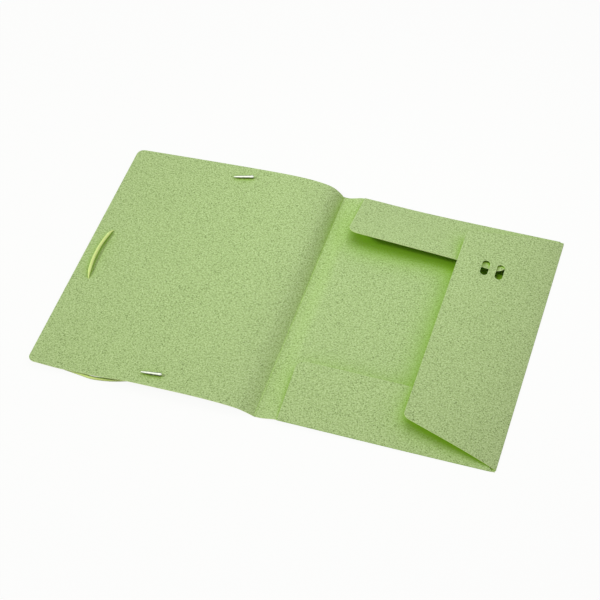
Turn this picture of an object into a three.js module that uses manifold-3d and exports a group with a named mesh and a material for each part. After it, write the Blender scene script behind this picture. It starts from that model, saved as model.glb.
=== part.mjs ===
// A4 conference folder of speckled card, lying open: back cover, spine and
// arched front cover in one die-cut sheet, three lifted flaps folded in from
// the back cover, and a round elastic clipped to the front cover.
// Millimetres, +Z up. The origin is on the underside of the back cover, at its
// centre, and +Y runs along the spine towards the top of the folder.

import * as THREE from 'three';
import { mergeVertices } from 'three/addons/utils/BufferGeometryUtils.js';
import Module from 'manifold-3d';

const wasm = await Module();
wasm.setup();

// Card
const CARD_THICKNESS = 0.5;
const FOLD_GAP = 0.3; // between two panels, across their crease
const LAYER_GAP = 0.3; // between a folded-in flap and the back cover, at the fold
const SHEET_HEIGHT = 320;

// Covers and spine
const BACK_WIDTH = 219;
const SPINE_WIDTH = 19.5;
const BEND_WIDTH = 22; // strip of the front cover that bends beside the spine
const COVER_WIDTH = 236.5; // along the card, from the spine's crease to the outer edge
const COVER_CORNER_RADIUS = 9;

// Arch of the open front cover: its slope starts steep at the crease, loses one
// part at the score beside the spine, dies away over the bend length and then
// falls gently, with a little more droop further out. Bottom and top ends differ.
const ARCH_BOTTOM = {
  scored: radians(7),
  start: radians(20),
  length: 27.5,
  fall: radians(1.2),
  droop: radians(0.75),
};
const ARCH_TOP = {
  scored: radians(13),
  start: radians(47),
  length: 22,
  fall: radians(3.1),
  droop: radians(0.3),
};
const SCORE_DISTANCE = 17;
const SCORE_WIDTH = 4;
const DROOP_FROM = 120;
const DROOP_TO = 180;

// Side flap, folded in from the right edge over the other two
const SIDE_FLAP_DEPTH = 99.5;
const SIDE_FLAP_INSET = 2; // from each end of the back cover, at the fold
const SIDE_FLAP_TAPER = radians(14.4);
const SIDE_FLAP_CORNER_RADIUS = 8;
const SIDE_FLAP_LIFT = { start: radians(10), length: 25, rest: radians(7.4) };

// Two slots punched in the side flap
const SLOT_WIDTH = 8;
const SLOT_LENGTH = 21;
const SLOT_SPACING = 15.8;
const SLOT_FOLD_DISTANCE = 54; // from the fold to the nearer slot's centre
const SLOT_TOP_DISTANCE = 72; // from the top edge to the slots' centres

// Top and bottom flaps
const END_FLAP_DEPTH = 72;
const END_FLAP_SPINE_INSET = 3;
const END_FLAP_SIDE_INSET = 3.5;
const END_FLAP_MITRE = radians(35); // of the end that lies under the side flap
const END_FLAP_CORNER_RADIUS = 10;
const TOP_FLAP_LIFT = radians(13);
const TOP_FLAP_PRESSED_LIFT = radians(5); // of the corner that lies under the side flap
const BOTTOM_FLAP_LIFT = radians(8);
const BOTTOM_FLAP_PRESSED_LIFT = radians(6);
const BOTTOM_FLAP_PRESSED_LENGTH = 12; // still free part that already bends down

// Elastic and its two metal bars
const ELASTIC_DIAMETER = 3.4;
const ELASTIC_HOLE_CLEARANCE = 0.95; // on the radius, in the card
const CLIP_LENGTH = 21.5;
const CLIP_RADIUS = 1.5;
const CLIP_TAIL_RADIUS = 0.8;
const CLIP_TAPER_RADIUS = 1.2;
const CLIP_TAPER_LENGTH = 3.5;
const CLIP_KNOB_RADIUS = 1.85;
const CLIP_SEAT_GAP = 0.3;
const CLIP_CREASE_DISTANCE = 111; // from the spine's crease, along the card
const UPPER_CLIP = { endDistance: 17.5, turn: radians(14) }; // from the cover's top edge
const LOWER_CLIP = { endDistance: 14.3, turn: radians(6) }; // from its bottom edge
const BOW_OUTER_DISTANCE = 18; // from the cover's outer edge
const BOW_TOP_Y = 33.3;
const BOW_BOTTOM_Y = -37.9;
const BOW_RISE = 4.2;
const BOW_RISE_FULLNESS = 0.2; // 1 is a parabola, and less stands steeper at the holes
const BOW_LEAN = 5.6; // towards the outer edge, at its middle
const BOW_LEAN_FULLNESS = 0.85;
const ELASTIC_REST_GAP = 0.4; // above what the folder lies on

// Facets, with each sheet's as its columns along X and rows along Y
const BEND_FACETS = [8, 4];
const COVER_FACETS = [16, 6];
const SIDE_FLAP_FACETS = [14, 1];
const END_FLAP_FACETS = [18, 2];
const CORNER_DIVISIONS = 5;
const CLIP_SIDES = 12;
const KNOB_ANGLES = [-25, 0, 45].map(radians); // from its widest ring
const ELASTIC_SIDES = 8;
const ELASTIC_STEPS = 80;
const CUT_MARGIN = 2; // how far a sheet runs past the outline that trims it

// The two loops that the elastic lies in under the cover, from the clip to the
// bow and back, chosen by hand. Each point is the share of the way from the
// clip to the bow across the cover, and from the bow to the clip along it.
const UPPER_LOOP = [
  [0.072, 1.003],
  [0.3, 1.01],
  [0.473, 0.987],
  [0.653, 0.924],
  [0.813, 0.802],
  [0.926, 0.64],
  [0.983, 0.45],
  [1, 0.252],
  [1, 0.1],
];
const LOWER_LOOP = [
  [1.008, 0.26],
  [1.01, 0.5],
  [0.998, 0.75],
  [0.965, 0.94],
  [0.906, 1.05],
  [0.84, 1.094],
  [0.757, 1.11],
  [0.655, 1.124],
  [0.552, 1.138],
  [0.459, 1.129],
  [0.368, 1.113],
  [0.281, 1.087],
  [0.212, 1.064],
  [0.1, 1.024],
];

// How the elastic comes up through a hole: across and along from the hole's
// centre, and the share of the height from where it lies to the hole.
const UPPER_CLIP_PASSAGE = [
  [0, 0, 1.03],
  [0, 0, 0.6],
  [-1, 0, 0.3],
  [-3.5, 0, 0.1],
];
const UPPER_BOW_PASSAGE = [
  [0, 4.8, 0.22],
  [0, 1.8, 0.5],
  [0, 0, 0.97],
];
const LOWER_BOW_PASSAGE = [
  [0, 0, 0.97],
  [0, -1.8, 0.5],
  [0, -5, 0.2],
];
const LOWER_CLIP_PASSAGE = [
  [-3.1, -0.7, 0.2],
  [-0.7, -0.1, 0.52],
  [0, 0, 1.03],
];
const BOW_SHARES = [0.04, 0.13, 0.3, 0.5, 0.7, 0.87, 0.96];

// Where the main lines lie
const BACK_RIGHT = BACK_WIDTH / 2;
const BACK_LEFT = -BACK_WIDTH / 2;
const TOP = SHEET_HEIGHT / 2;
const SPINE_RIGHT = BACK_LEFT - FOLD_GAP;
const SPINE_LEFT = SPINE_RIGHT - SPINE_WIDTH;
const COVER_RIGHT = SPINE_LEFT - FOLD_GAP;
const FLAP_SEAT = CARD_THICKNESS + LAYER_GAP; // underside of a flap at its fold
const ELASTIC_REST = ELASTIC_DIAMETER / 2 + ELASTIC_REST_GAP;
const BOW_DISTANCE = COVER_WIDTH - BOW_OUTER_DISTANCE;

// The elastic's holes: distance along the card from the spine's crease, and y
const HOLES = {
  upperClip: { distance: CLIP_CREASE_DISTANCE, y: TOP - UPPER_CLIP.endDistance },
  upperBow: { distance: BOW_DISTANCE, y: BOW_TOP_Y },
  lowerBow: { distance: BOW_DISTANCE, y: BOW_BOTTOM_Y },
  lowerClip: { distance: CLIP_CREASE_DISTANCE, y: -TOP + LOWER_CLIP.endDistance },
};

const UP = new THREE.Vector3(0, 0, 1);

const card = new THREE.MeshStandardMaterial({ color: 0xaac284, roughness: 0.85, metalness: 0 });
const elasticCord = new THREE.MeshStandardMaterial({ color: 0xc6df86, roughness: 0.6, metalness: 0 });
const steel = new THREE.MeshStandardMaterial({ color: 0xb9bab4, roughness: 0.3, metalness: 1 });

function radians(degrees) {
  return THREE.MathUtils.degToRad(degrees);
}

// Follows a slope along the card and gives the run, rise and slope at any
// distance, by adding up short straight steps.
function slopedPath(slopeAt, length) {
  const step = 0.5;
  const count = Math.ceil(length / step) + 1;
  const run = [0];
  const rise = [0];
  for (let i = 0; i < count; i++) {
    const slope = slopeAt((i + 0.5) * step);
    run.push(run[i] + step * Math.cos(slope));
    rise.push(rise[i] + step * Math.sin(slope));
  }
  return (distance) => {
    const at = Math.min(distance / step, count - 1);
    const low = Math.floor(at);
    return {
      run: THREE.MathUtils.lerp(run[low], run[low + 1], at - low),
      rise: THREE.MathUtils.lerp(rise[low], rise[low + 1], at - low),
      slope: slopeAt(distance),
    };
  };
}

// A sheet between two offsets from a surface. surface(a, b) gives a point and
// its upward normal, with a towards +X and b towards +Y, both from 0 to 1.
function sheetGeometry(surface, [columns, rows], lowOffset, highOffset) {
  const positions = [];
  for (const offset of [lowOffset, highOffset]) {
    for (let j = 0; j <= rows; j++) {
      for (let i = 0; i <= columns; i++) {
        const { point, normal } = surface(i / columns, j / rows);
        positions.push(...point.clone().addScaledVector(normal, offset).toArray());
      }
    }
  }
  const layer = (columns + 1) * (rows + 1);
  const low = (i, j) => j * (columns + 1) + i;
  const high = (i, j) => low(i, j) + layer;
  const indices = [];
  const quad = (a, b, c, d) => indices.push(a, b, c, a, c, d);
  for (let j = 0; j < rows; j++) {
    for (let i = 0; i < columns; i++) {
      quad(high(i, j), high(i + 1, j), high(i + 1, j + 1), high(i, j + 1));
      indices.push(low(i, j), low(i + 1, j + 1), low(i + 1, j));
      indices.push(low(i, j), low(i, j + 1), low(i + 1, j + 1));
    }
  }
  for (let i = 0; i < columns; i++) {
    quad(low(i, 0), low(i + 1, 0), high(i + 1, 0), high(i, 0));
    quad(low(i + 1, rows), low(i, rows), high(i, rows), high(i + 1, rows));
  }
  for (let j = 0; j < rows; j++) {
    quad(low(0, j + 1), low(0, j), high(0, j), high(0, j + 1));
    quad(low(columns, j), low(columns, j + 1), high(columns, j + 1), high(columns, j));
  }
  const geometry = new THREE.BufferGeometry();
  geometry.setAttribute('position', new THREE.Float32BufferAttribute(positions, 3));
  geometry.setIndex(indices);
  return geometry;
}

// Outline of a panel in its flat pattern, with every corner rounded by its own
// radius. corners are [x, y, radius], counterclockwise.
function roundedOutline(corners) {
  const shape = new THREE.Shape();
  corners.forEach(([x, y, radius], index) => {
    const corner = new THREE.Vector2(x, y);
    const before = towards(corner, corners.at(index - 1));
    const after = towards(corner, corners[(index + 1) % corners.length]);
    const half = Math.acos(THREE.MathUtils.clamp(before.dot(after), -1, 1)) / 2;
    const reach = radius / Math.tan(half);
    const start = corner.clone().addScaledVector(before, reach);
    const end = corner.clone().addScaledVector(after, reach);
    if (index === 0) shape.moveTo(start.x, start.y);
    else shape.lineTo(start.x, start.y);
    if (radius === 0) return;
    const centre = before.add(after).setLength(radius / Math.sin(half)).add(corner);
    const from = Math.atan2(start.y - centre.y, start.x - centre.x);
    const to = Math.atan2(end.y - centre.y, end.x - centre.x);
    shape.absarc(centre.x, centre.y, radius, from, to, false);
  });
  return shape;
}

function towards(corner, [x, y]) {
  return new THREE.Vector2(x, y).sub(corner).normalize();
}

// An upright prism on a flat pattern that is first laid on the bent card: place
// turns a point of the pattern into its x and y on the bent card.
function patternPrism(pattern, place, height) {
  const { shape, holes } = pattern.extractPoints(CORNER_DIVISIONS);
  const laid = new THREE.Shape(shape.map(place));
  laid.holes = holes.map((hole) => new THREE.Path(hole.map(place)));
  const prism = new THREE.ExtrudeGeometry(laid, { depth: 2 * height, bevelEnabled: false });
  return prism.translate(0, 0, -height);
}

function toSolid(geometry) {
  const bare = geometry.clone();
  bare.deleteAttribute('normal');
  bare.deleteAttribute('uv');
  const merged = mergeVertices(bare, 1e-4);
  return new wasm.Manifold(
    new wasm.Mesh({
      numProp: 3,
      vertProperties: new Float32Array(merged.attributes.position.array),
      triVerts: new Uint32Array(merged.index.array),
    }),
  );
}

function fromSolid(solid) {
  const { vertProperties, triVerts } = solid.getMesh();
  const geometry = new THREE.BufferGeometry();
  geometry.setAttribute('position', new THREE.BufferAttribute(vertProperties, 3));
  geometry.setIndex(new THREE.BufferAttribute(triVerts, 1));
  geometry.computeVertexNormals();
  return geometry;
}

function trimmed(sheet, prism) {
  return fromSolid(toSolid(sheet).intersect(toSolid(prism)));
}

function named(name, geometry, material) {
  const mesh = new THREE.Mesh(geometry, material);
  mesh.name = name;
  return mesh;
}

// A flat panel between two x values, as high as the sheet.
function flatPanel(name, left, right) {
  const width = right - left;
  const box = new THREE.BoxGeometry(width, SHEET_HEIGHT, CARD_THICKNESS);
  const mesh = named(name, box, card);
  mesh.position.set(left + width / 2, 0, CARD_THICKNESS / 2);
  return mesh;
}

// Front cover

function archPath({ scored, start, length, fall, droop }) {
  const scoreEnd = SCORE_DISTANCE + SCORE_WIDTH / 2;
  const slopeAt = (s) => {
    const pastScore = THREE.MathUtils.smoothstep(s, scoreEnd - SCORE_WIDTH, scoreEnd);
    const drooping = THREE.MathUtils.clamp((s - DROOP_FROM) / (DROOP_TO - DROOP_FROM), 0, 1);
    return scored * (1 - pastScore) + start * Math.exp(-s / length) - fall - droop * drooping;
  };
  return slopedPath(slopeAt, COVER_WIDTH + CUT_MARGIN);
}

const archBottom = archPath(ARCH_BOTTOM);
const archTop = archPath(ARCH_TOP);

// Inside face of the open cover, at a distance along the card from the spine's
// crease and a place along it.
function coverSurface(distance, y) {
  const bottom = archBottom(distance);
  const top = archTop(distance);
  const share = (y + TOP) / SHEET_HEIGHT;
  const slope = THREE.MathUtils.lerp(bottom.slope, top.slope, share);
  const run = THREE.MathUtils.lerp(bottom.run, top.run, share);
  const rise = THREE.MathUtils.lerp(bottom.rise, top.rise, share);
  return {
    point: new THREE.Vector3(COVER_RIGHT - run, y, CARD_THICKNESS + rise),
    normal: new THREE.Vector3(Math.sin(slope), 0, Math.cos(slope)),
    slope,
  };
}

function coverSheet(from, to, overhang, facets) {
  const surface = (a, b) => {
    const distance = THREE.MathUtils.lerp(to, from, a);
    const y = THREE.MathUtils.lerp(-TOP - overhang, TOP + overhang, b);
    return coverSurface(distance, y);
  };
  return sheetGeometry(surface, facets, -CARD_THICKNESS, 0);
}

function coverBend() {
  return named('cover_bend', coverSheet(0, BEND_WIDTH, 0, BEND_FACETS), card);
}

function frontCover() {
  const start = BEND_WIDTH + FOLD_GAP;
  const sheet = coverSheet(start, COVER_WIDTH + CUT_MARGIN, CUT_MARGIN, COVER_FACETS);
  const pattern = roundedOutline([
    [0, -TOP, 0],
    [COVER_WIDTH, -TOP, COVER_CORNER_RADIUS],
    [COVER_WIDTH, TOP, COVER_CORNER_RADIUS],
    [0, TOP, 0],
  ]);
  const holeRadius = ELASTIC_DIAMETER / 2 + ELASTIC_HOLE_CLEARANCE;
  for (const { distance, y } of Object.values(HOLES)) {
    const hole = new THREE.Path().absarc(distance, y, holeRadius, 0, 2 * Math.PI, true);
    pattern.holes.push(hole);
  }
  const place = ({ x, y }) => {
    const { point } = coverSurface(x, y);
    return new THREE.Vector2(point.x, point.y);
  };
  const height = 2 * COVER_WIDTH;
  return named('front_cover', trimmed(sheet, patternPrism(pattern, place, height)), card);
}

// Flaps

const sideLift = slopedPath(
  (u) => SIDE_FLAP_LIFT.start * Math.exp(-u / SIDE_FLAP_LIFT.length) + SIDE_FLAP_LIFT.rest,
  SIDE_FLAP_DEPTH + CUT_MARGIN,
);

// Underside of the side flap, at a depth from its fold.
function sideFlapSurface(depth, y) {
  const { run, rise, slope } = sideLift(depth);
  return {
    point: new THREE.Vector3(BACK_RIGHT - run, y, FLAP_SEAT + rise),
    normal: new THREE.Vector3(Math.sin(slope), 0, Math.cos(slope)),
  };
}

function sideFlap() {
  const far = SIDE_FLAP_DEPTH + CUT_MARGIN;
  const sheet = sheetGeometry(
    (a, b) => sideFlapSurface(far * (1 - a), THREE.MathUtils.lerp(-TOP, TOP, b)),
    SIDE_FLAP_FACETS,
    0,
    CARD_THICKNESS,
  );
  const end = TOP - SIDE_FLAP_INSET;
  const narrowing = SIDE_FLAP_DEPTH * Math.tan(SIDE_FLAP_TAPER);
  const pattern = roundedOutline([
    [0, -end, 0],
    [SIDE_FLAP_DEPTH, -end + narrowing, SIDE_FLAP_CORNER_RADIUS],
    [SIDE_FLAP_DEPTH, end - narrowing, SIDE_FLAP_CORNER_RADIUS],
    [0, end, 0],
    [-CUT_MARGIN, end, 0],
    [-CUT_MARGIN, -end, 0],
  ]);
  const slotY = TOP - SLOT_TOP_DISTANCE;
  pattern.holes.push(slotOutline(SLOT_FOLD_DISTANCE, slotY));
  pattern.holes.push(slotOutline(SLOT_FOLD_DISTANCE + SLOT_SPACING, slotY));
  const place = ({ x, y }) => {
    const depth = Math.max(x, 0);
    const beyond = Math.min(x, 0);
    return new THREE.Vector2(sideFlapSurface(depth, y).point.x - beyond, y);
  };
  const prism = patternPrism(pattern, place, SIDE_FLAP_DEPTH);
  return named('side_flap', trimmed(sheet, prism), card);
}

function slotOutline(x, y) {
  const radius = SLOT_WIDTH / 2;
  const straight = SLOT_LENGTH / 2 - radius;
  const slot = new THREE.Path();
  slot.absarc(x, y + straight, radius, Math.PI, 0, true);
  slot.absarc(x, y - straight, radius, 0, -Math.PI, true);
  return slot;
}

// The top flap and, with side = -1, the bottom flap. pressedFrom is the x from
// which the flap bends down towards its corner under the side flap.
function endFlap(name, side, pressedFrom, [lift, pressedLift]) {
  const left = BACK_LEFT + END_FLAP_SPINE_INSET;
  const right = BACK_RIGHT - END_FLAP_SIDE_INSET;
  const reach = END_FLAP_DEPTH * Math.tan(END_FLAP_MITRE);
  const slopeAt = (x) => {
    const pressed = THREE.MathUtils.clamp((x - pressedFrom) / (right - reach - pressedFrom), 0, 1);
    return THREE.MathUtils.lerp(lift, pressedLift, pressed ** 2);
  };
  const surface = (x, depth) => {
    const slope = slopeAt(x);
    const y = side * (TOP - depth * Math.cos(slope));
    return {
      point: new THREE.Vector3(x, y, FLAP_SEAT + depth * Math.sin(slope)),
      normal: new THREE.Vector3(0, side * Math.sin(slope), Math.cos(slope)),
    };
  };
  const far = END_FLAP_DEPTH + CUT_MARGIN;
  const sheet = sheetGeometry(
    (a, b) => {
      const x = THREE.MathUtils.lerp(left - CUT_MARGIN, right + CUT_MARGIN, a);
      return surface(x, far * (side > 0 ? 1 - b : b));
    },
    END_FLAP_FACETS,
    0,
    CARD_THICKNESS,
  );
  const corners = [
    [left, -CUT_MARGIN, 0],
    [right, -CUT_MARGIN, 0],
    [right, 0, 0],
    [right - reach, END_FLAP_DEPTH, END_FLAP_CORNER_RADIUS],
    [left, END_FLAP_DEPTH, END_FLAP_CORNER_RADIUS],
  ];
  const place = ({ x, y }) => {
    const depth = Math.max(y, 0);
    const beyond = Math.min(y, 0);
    return new THREE.Vector2(x, surface(x, depth).point.y - side * beyond);
  };
  const prism = patternPrism(roundedOutline(corners), place, SHEET_HEIGHT);
  return named(name, trimmed(sheet, prism), card);
}

function topFlap() {
  return endFlap('top_flap', 1, BACK_LEFT, [TOP_FLAP_LIFT, TOP_FLAP_PRESSED_LIFT]);
}

function bottomFlap() {
  const pressedFrom = BACK_RIGHT - SIDE_FLAP_DEPTH - BOTTOM_FLAP_PRESSED_LENGTH;
  return endFlap('bottom_flap', -1, pressedFrom, [BOTTOM_FLAP_LIFT, BOTTOM_FLAP_PRESSED_LIFT]);
}

// Elastic

// A tapered metal bar with a knob at its right end, lying on the cover's inside
// face across the hole that the elastic comes up through.
function clip(name, { distance, y }, turn) {
  const half = CLIP_LENGTH / 2;
  const neck = half - 2 * CLIP_KNOB_RADIUS;
  const knobCentre = half - CLIP_KNOB_RADIUS;
  const knob = KNOB_ANGLES.map((angle) => [
    CLIP_KNOB_RADIUS * Math.cos(angle),
    knobCentre + CLIP_KNOB_RADIUS * Math.sin(angle),
  ]);
  const profile = [
    [0, -half],
    [CLIP_TAIL_RADIUS, -half],
    [CLIP_TAPER_RADIUS, -half + CLIP_TAPER_LENGTH],
    [CLIP_RADIUS, 0],
    [CLIP_RADIUS, neck],
    ...knob,
    [0, half],
  ].map(([radius, along]) => new THREE.Vector2(radius, along));
  const bar = new THREE.LatheGeometry(profile, CLIP_SIDES).rotateZ(-Math.PI / 2);
  const seat = coverSurface(distance, y);
  const tilt = new THREE.Quaternion().setFromUnitVectors(UP, seat.normal);
  const heading = new THREE.Quaternion().setFromAxisAngle(UP, turn);
  const mesh = named(name, fromSolid(toSolid(bar)), steel);
  mesh.quaternion.copy(tilt.multiply(heading));
  mesh.position.copy(seat.point).addScaledVector(seat.normal, CLIP_KNOB_RADIUS + CLIP_SEAT_GAP);
  return mesh;
}

function holePoint({ distance, y }) {
  return coverSurface(distance, y).point;
}

function passage(hole, steps) {
  return steps.map(([across, along, share]) => {
    const height = THREE.MathUtils.lerp(ELASTIC_REST, hole.z, share);
    return new THREE.Vector3(hole.x + across, hole.y + along, height);
  });
}

function loop(clipHole, bowHole, shares) {
  return shares.map(([across, along]) => {
    const x = THREE.MathUtils.lerp(clipHole.x, bowHole.x, across);
    const y = THREE.MathUtils.lerp(bowHole.y, clipHole.y, along);
    return new THREE.Vector3(x, y, ELASTIC_REST);
  });
}

function bow(upper, lower) {
  return BOW_SHARES.map((share) => {
    const swell = 4 * share * (1 - share);
    const lean = BOW_LEAN * swell ** BOW_LEAN_FULLNESS;
    const rise = BOW_RISE * swell ** BOW_RISE_FULLNESS;
    return upper.clone().lerp(lower, share).add(new THREE.Vector3(-lean, 0, rise));
  });
}

// Down from the upper clip, under the cover, up and over as the bow inside the
// cover, and back under it to the lower clip.
function elasticRoute() {
  const upperClip = holePoint(HOLES.upperClip);
  const upperBow = holePoint(HOLES.upperBow);
  const lowerBow = holePoint(HOLES.lowerBow);
  const lowerClip = holePoint(HOLES.lowerClip);
  return [
    ...passage(upperClip, UPPER_CLIP_PASSAGE),
    ...loop(upperClip, upperBow, UPPER_LOOP),
    ...passage(upperBow, UPPER_BOW_PASSAGE),
    ...bow(upperBow, lowerBow),
    ...passage(lowerBow, LOWER_BOW_PASSAGE),
    ...loop(lowerClip, lowerBow, LOWER_LOOP),
    ...passage(lowerClip, LOWER_CLIP_PASSAGE),
  ];
}

function elastic() {
  const path = new THREE.CatmullRomCurve3(elasticRoute(), false, 'centripetal');
  const section = new THREE.Shape();
  section.absarc(0, 0, ELASTIC_DIAMETER / 2, 0, 2 * Math.PI, false);
  const tube = new THREE.ExtrudeGeometry(section, {
    steps: ELASTIC_STEPS,
    curveSegments: ELASTIC_SIDES / 2,
    extrudePath: path,
  });
  return named('elastic_cord', fromSolid(toSolid(tube)), elasticCord);
}

const folder = new THREE.Group();
folder.add(
  flatPanel('back_cover', BACK_LEFT, BACK_RIGHT),
  flatPanel('spine', SPINE_LEFT, SPINE_RIGHT),
  coverBend(),
  frontCover(),
  topFlap(),
  bottomFlap(),
  sideFlap(),
  elastic(),
  clip('upper_clip', HOLES.upperClip, UPPER_CLIP.turn),
  clip('lower_clip', HOLES.lowerClip, LOWER_CLIP.turn),
);

export default folder;
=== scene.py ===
import math

import bpy
from bpy.props import FloatProperty, FloatVectorProperty, IntProperty, PointerProperty
from mathutils import Matrix, Vector


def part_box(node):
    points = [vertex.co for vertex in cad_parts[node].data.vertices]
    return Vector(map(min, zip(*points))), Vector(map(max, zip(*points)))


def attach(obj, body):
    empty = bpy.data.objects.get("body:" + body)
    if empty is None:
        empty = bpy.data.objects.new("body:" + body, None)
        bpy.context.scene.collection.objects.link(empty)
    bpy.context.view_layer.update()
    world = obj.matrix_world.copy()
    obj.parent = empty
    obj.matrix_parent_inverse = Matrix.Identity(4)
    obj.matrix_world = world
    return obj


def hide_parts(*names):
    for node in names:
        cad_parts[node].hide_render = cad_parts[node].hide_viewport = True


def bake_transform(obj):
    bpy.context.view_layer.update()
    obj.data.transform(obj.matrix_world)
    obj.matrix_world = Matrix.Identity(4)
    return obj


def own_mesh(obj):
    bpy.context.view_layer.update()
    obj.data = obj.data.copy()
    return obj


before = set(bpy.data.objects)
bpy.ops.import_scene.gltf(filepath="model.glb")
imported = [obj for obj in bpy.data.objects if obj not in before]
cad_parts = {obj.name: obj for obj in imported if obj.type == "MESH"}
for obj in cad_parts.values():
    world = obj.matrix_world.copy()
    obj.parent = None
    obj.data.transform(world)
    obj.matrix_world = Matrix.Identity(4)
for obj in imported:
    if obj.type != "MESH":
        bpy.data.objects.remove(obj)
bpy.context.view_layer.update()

bl_info = {
    "name": "Conference Folder",
    "version": (1, 0, 0),
    "blender": (4, 5, 0),
    "location": "3D View > Sidebar > Folder",
    "description": "Builds an open folder of speckled card with three flaps and a round elastic",
    "category": "Add Mesh",
}

MM = 0.001

# Edges of the panels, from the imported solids
BACK_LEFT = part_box("back_cover")[0][0]
BACK_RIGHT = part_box("back_cover")[1][0]
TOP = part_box("back_cover")[1][1]
SPINE_LEFT, SPINE_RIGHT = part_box("spine")[0][0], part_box("spine")[1][0]
COVER_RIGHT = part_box("cover_bend")[1][0]
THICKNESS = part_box("back_cover")[1][2]
FLAP_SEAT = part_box("side_flap")[0][2]
FOLD_HEIGHT = (THICKNESS + FLAP_SEAT) / 2

# Arch of the open cover at its two ends: the slope that ends at its score, the
# slope that dies away, the length over which it does, the gentle fall beyond,
# and the fall that is added between the two droop distances
ARCH_BOTTOM = (math.radians(7), math.radians(20), 27.5 * MM, math.radians(1.2), math.radians(0.75))
ARCH_TOP = (math.radians(13), math.radians(47), 22 * MM, math.radians(3.1), math.radians(0.3))
SCORE_DISTANCE = 17 * MM
SCORE_WIDTH = 4 * MM
DROOP_DISTANCES = (120 * MM, 180 * MM)
ARCH_REACH = 0.25
# Sag of the cover's bottom edge: depth, place of its middle, half its length and
# how far it reaches into the cover
SAG_DEPTH = 2.7 * MM
SAG_MIDDLE = 182 * MM
SAG_HALF_LENGTH = 38 * MM
SAG_REACH = 35 * MM

# Ridge along the crease between spine and back cover: its climb on the spine,
# the rounding at the climb's foot, and on the back cover the lengths over which
# it dies away at its bottom and top ends, and the power that shapes its fall
RIDGE_CLIMB = 12.5 * MM
RIDGE_ROUNDING = 1 * MM
RIDGE_LENGTHS = (120 * MM, 50 * MM)
RIDGE_POWER = 1.5
# Seam of the two level panels, right of the crease
PANEL_SEAM = 6 * MM
# How far a blank and a cutter reach past the cut
MARGIN = 2 * MM
OVERSHOOT = 5 * MM

SIDE_FLAP_INSET = 2 * MM
SIDE_FLAP_TAPER = math.radians(14.4)
SIDE_FLAP_CORNER = 8 * MM
SIDE_FLAP_START = math.radians(10)
SIDE_FLAP_LENGTH = 25 * MM
SIDE_FLAP_REST = math.radians(7.4)
SIDE_FLAP_REACH = 0.1
SLOT_WIDTH = 8 * MM
SLOT_LENGTH = 21 * MM
SLOT_SPACING = 15.8 * MM
SLOT_FOLD_DISTANCE = 54 * MM
SLOT_TOP_DISTANCE = 72 * MM

END_FLAP_DEPTH = 72 * MM
END_FLAP_SPINE_INSET = 3 * MM
END_FLAP_SIDE_INSET = 3.5 * MM
END_FLAP_MITRE = math.radians(35)
END_FLAP_CORNER = 10 * MM
TOP_FLAP_LIFTS = (math.radians(14.3), math.radians(8.2))
BOTTOM_FLAP_LIFTS = (math.radians(8), math.radians(6))
BOTTOM_PRESSED_LENGTH = 12 * MM
# How steeply the lift changes from a flap's left end to its right
END_FLAP_LIFT_POWER = 2.4

# Hidden roll of card in each end fold: its sides, outwards from the fold
ROLL_INNER = -2.0 * MM
ROLL_OUTER = 0.45 * MM
ROLL_HALF_THICKNESS = 0.1 * MM
ROLL_STEPS = 10
# Faces around half a fold, and along it
FOLD_STEPS = 9
FOLD_ROWS = 64

# Length of a sheet's cells along the spine over their width across it
CELL_STRETCH = 2
CUTTER_HEIGHT = 0.1
CORNER_SEGMENTS = 10
SLOT_SIDES = 32

HOLE_CLEARANCE = 0.1 * MM
ELASTIC_REST_GAP = 0.4 * MM
CLIP_DISTANCE = 111 * MM
UPPER_CLIP_END = 17.5 * MM
LOWER_CLIP_END = 14.3 * MM
BOW_OUTER_DISTANCE = 18 * MM
BOW_TOP_Y = 33.3 * MM
BOW_BOTTOM_Y = -37.9 * MM
BOW_RISE = 2.8 * MM
BOW_RISE_FULLNESS = 0.4
BOW_LEAN = 4.6 * MM
BOW_LEAN_FULLNESS = 0.85
# Share of its thickness that the elastic keeps in the bow's holes, and how
# far from them it has all of it again
SQUEEZED = 0.5
SQUEEZED_LENGTH = 11 * MM
# Turns about a bar between which it gets painted light, from its left side over its top;
# elsewhere it gets painted shade from a darker copy of its metal
BAR_PAINTED_LIGHT_TURNS = (math.radians(88), math.radians(168))
CLIP_KNOB_RADIUS = 1.85 * MM
CLIP_SEAT_GAP = 0.3 * MM
CLIP_SIDES = 24
CLIP_HEADINGS = {"upper_clip": math.radians(14), "lower_clip": math.radians(6)}

# Loops of the elastic under the cover, as shares of the way across from clip
# to bow and along from bow to clip
UPPER_LOOP = [
    (0.072, 1.003),
    (0.3, 1.01),
    (0.473, 0.987),
    (0.653, 0.924),
    (0.813, 0.802),
    (0.926, 0.64),
    (0.983, 0.45),
    (1, 0.252),
    (1, 0.1),
]
LOWER_LOOP = [
    (1.008, 0.26),
    (1.01, 0.5),
    (0.998, 0.75),
    (0.965, 0.94),
    (0.906, 1.05),
    (0.84, 1.093),
    (0.757, 1.108),
    (0.655, 1.121),
    (0.552, 1.134),
    (0.459, 1.127),
    (0.368, 1.111),
    (0.281, 1.086),
    (0.212, 1.062),
    (0.1, 1.024),
]
# Millimetres across and along from a hole, and the share of its height
UPPER_CLIP_PASSAGE = [(0, 0, 1.03), (0, 0, 0.6), (-1, 0, 0.3), (-3.5, 0, 0.1)]
UPPER_BOW_PASSAGE = [(0, 4.8, 0.22), (0, 1.8, 0.5), (0, 0, 0.97)]
LOWER_BOW_PASSAGE = [(0, 0, 0.97), (0, -1.8, 0.5), (0, -5, 0.2)]
LOWER_CLIP_PASSAGE = [(-3.1, -0.7, 0.2), (-0.7, -0.1, 0.52), (0, 0, 1.03)]
BOW_SHARES = [0.04, 0.13, 0.3, 0.5, 0.7, 0.87, 0.96]
# Points that the smooth line gets between two of the route
ROUTE_STEPS = 8

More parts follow.
